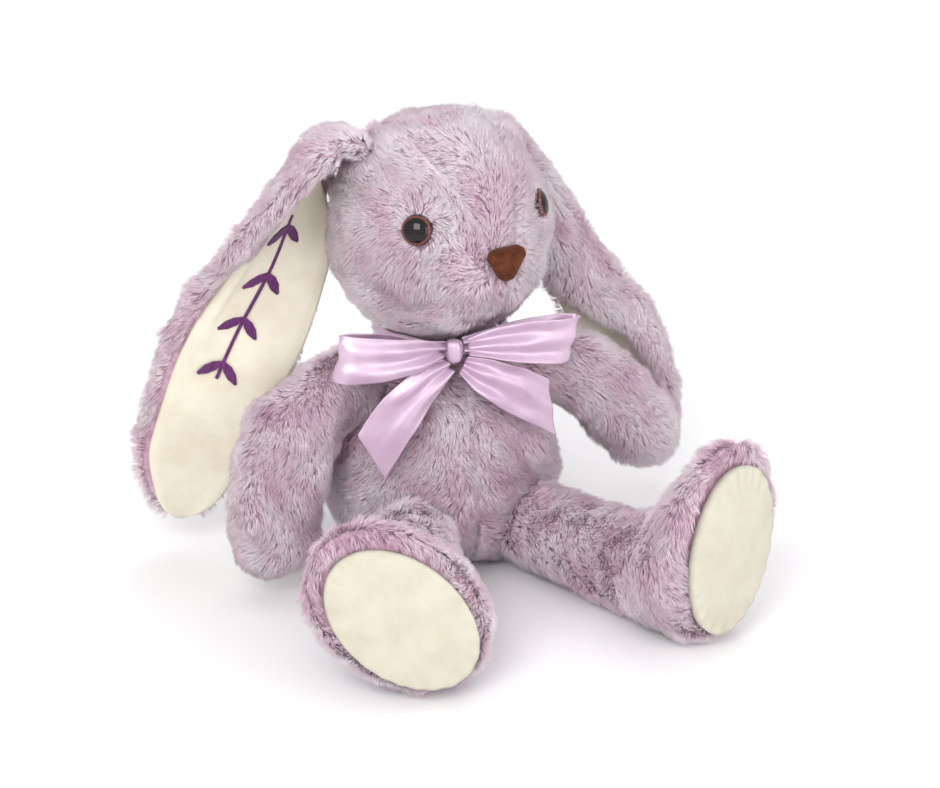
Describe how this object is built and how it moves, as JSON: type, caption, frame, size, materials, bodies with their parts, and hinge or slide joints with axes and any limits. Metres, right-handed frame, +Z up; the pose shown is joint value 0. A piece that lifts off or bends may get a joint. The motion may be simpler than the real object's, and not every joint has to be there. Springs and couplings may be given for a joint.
{
  "type": "stuffed bunny rabbit",
  "caption": "Seated plush rabbit with long drooping lined ears, sewn face, stuffed arms and legs, velour soles and a satin ribbon bow at the neck.",
  "frame": {"origin": "centre of the seated toy's footprint, on the surface that it sits on", "axes": "+Z up, the rabbit faces -Y, its own right side is -X and its left side is +X"},
  "size_m": [0.3038, 0.2692, 0.238],
  "materials": {
    "plush_fur": "frosted lilac faux fur, about 9 mm pile with deep mauve roots and pale tips",
    "ear_velour": "cream velour, short nap",
    "sole_velour": "cream velour, short nap",
    "embroidery_thread": "dark purple rayon thread in satin stitch",
    "satin_ribbon": "lilac single-face satin ribbon, glossy",
    "nose_velour": "dark brown velour",
    "eye_dome": "clear moulded dome over a dark backing",
    "eye_iris": "brown ring printed round a black pupil",
    "eye_black": "black moulded back and post",
    "eye_washer": "natural white locking washer",
    "polyester_filling": "white polyester fibre filling",
    "pellet_bag": "thin cotton bag of plastic pellets"
  },
  "bodies": {
    "torso": {"torso_front_right": "plush_fur", "torso_front_left": "plush_fur", "torso_back_right": "plush_fur", "torso_back_left": "plush_fur", "torso_stuffing": "polyester_filling", "seat_pellet_bag": "pellet_bag", "tail_cover": "plush_fur", "tail_stuffing": "polyester_filling", "ribbon_band": "satin_ribbon", "bow_knot": "satin_ribbon", "bow_loop_right": "satin_ribbon", "bow_loop_left": "satin_ribbon", "bow_tail_right": "satin_ribbon", "bow_tail_left": "satin_ribbon"},
    "head": {"head_side_right": "plush_fur", "head_side_left": "plush_fur", "head_gusset": "plush_fur", "head_stuffing": "polyester_filling", "nose_pad": "nose_velour", "eye_right_cap": "eye_dome", "eye_right_iris": "eye_iris", "eye_right_post": "eye_black", "eye_right_washer": "eye_washer", "eye_left_cap": "eye_dome", "eye_left_iris": "eye_iris", "eye_left_post": "eye_black", "eye_left_washer": "eye_washer"},
    "ear_right": {"ear_right_back": "plush_fur", "ear_right_lining": "ear_velour", "ear_right_embroidery": "embroidery_thread"},
    "ear_left": {"ear_left_back": "plush_fur", "ear_left_lining": "ear_velour"},
    "arm_right": {"arm_right_outer": "plush_fur", "arm_right_inner": "plush_fur", "arm_right_stuffing": "polyester_filling"},
    "arm_left": {"arm_left_outer": "plush_fur", "arm_left_inner": "plush_fur", "arm_left_stuffing": "polyester_filling"},
    "leg_right": {"leg_right_outer": "plush_fur", "leg_right_inner": "plush_fur", "leg_right_sole": "sole_velour", "leg_right_stuffing": "polyester_filling"},
    "leg_left": {"leg_left_outer": "plush_fur", "leg_left_inner": "plush_fur", "leg_left_sole": "sole_velour", "leg_left_stuffing": "polyester_filling"}
  },
  "joints": [
    {"name": "neck_turn", "type": "hinge", "parent": "torso", "child": "head", "pos_m": [0.0006, 0.0411, 0.121], "axis": [0, 0, 1], "range_deg": [-10, 2]},
    {"name": "ear_right_lift", "type": "hinge", "parent": "head", "child": "ear_right", "pos_m": [-0.0354, 0.0431, 0.221], "axis": [0, 1, 0], "range_deg": [0, 45]},
    {"name": "ear_left_lift", "type": "hinge", "parent": "head", "child": "ear_left", "pos_m": [0.0331, 0.0511, 0.221], "axis": [0, -1, 0], "range_deg": [0, 45]},
    {"name": "arm_right_raise", "type": "hinge", "parent": "torso", "child": "arm_right", "pos_m": [-0.0484, 0.0391, 0.098], "axis": [-0.6938, 0.6888, 0.2103], "range_deg": [0, 40]},
    {"name": "arm_left_raise", "type": "hinge", "parent": "torso", "child": "arm_left", "pos_m": [0.0536, 0.0391, 0.098], "axis": [-0.5754, -0.6826, -0.4506], "range_deg": [0, 40]},
    {"name": "leg_right_swing", "type": "hinge", "parent": "torso", "child": "leg_right", "pos_m": [-0.0314, -0.0029, 0.0265], "axis": [-1, 0, 0], "range_deg": [-15, 30]},
    {"name": "leg_left_swing", "type": "hinge", "parent": "torso", "child": "leg_left", "pos_m": [0.0366, -0.0029, 0.0251], "axis": [-1, 0, 0], "range_deg": [-15, 30]}
  ]
}
